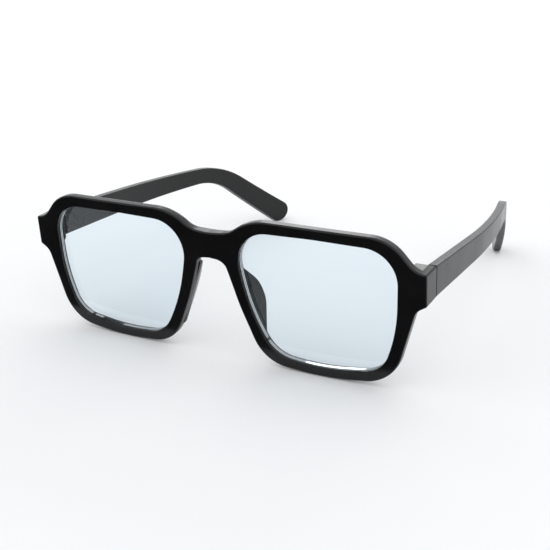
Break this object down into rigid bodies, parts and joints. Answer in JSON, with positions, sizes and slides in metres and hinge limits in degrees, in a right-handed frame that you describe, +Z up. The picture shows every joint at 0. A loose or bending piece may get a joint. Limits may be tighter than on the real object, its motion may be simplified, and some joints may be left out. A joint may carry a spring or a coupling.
{
  "type": "eyeglasses",
  "caption": "Blue light glasses with a black square front, pale blue plano lenses and temples that fold on hinges.",
  "frame": {"origin": "middle of the base, at table height, half-way between the front of the bridge and the temple tips", "axes": "+Z up, +X towards the wearer's left, -Y the way the glasses face"},
  "size_m": [0.1454, 0.1458, 0.0497],
  "materials": {
    "frame": "polished black moulded plastic",
    "temple": "polished black moulded plastic",
    "pad": "black plastic, bonded on",
    "lens": "clear polycarbonate with a pale blue coating",
    "hinge": "nickel silver, satin",
    "screw": "bright steel, slotted head",
    "core_wire": "flat drawn wire"
  },
  "bodies": {
    "front": {"frame_front": "frame", "lens_left": "lens", "lens_right": "lens", "nose_pad_left": "pad", "nose_pad_right": "pad", "hinge_front_leaf_left": "hinge", "hinge_front_leaf_right": "hinge", "hinge_screw_left": "screw", "hinge_screw_right": "screw"},
    "temple_left": {"temple_left": "temple", "temple_core_left": "core_wire", "hinge_temple_leaf_left": "hinge"},
    "temple_right": {"temple_right": "temple", "temple_core_right": "core_wire", "hinge_temple_leaf_right": "hinge"}
  },
  "joints": [
    {"name": "temple_left_fold", "type": "hinge", "parent": "front", "child": "temple_left", "pos_m": [0.0683, -0.06064, 0.035], "axis": [0, 0, 1], "range_deg": [0, 83]},
    {"name": "temple_right_fold", "type": "hinge", "parent": "front", "child": "temple_right", "pos_m": [-0.0683, -0.06064, 0.035], "axis": [0, 0, -1], "range_deg": [0, 78]}
  ]
}
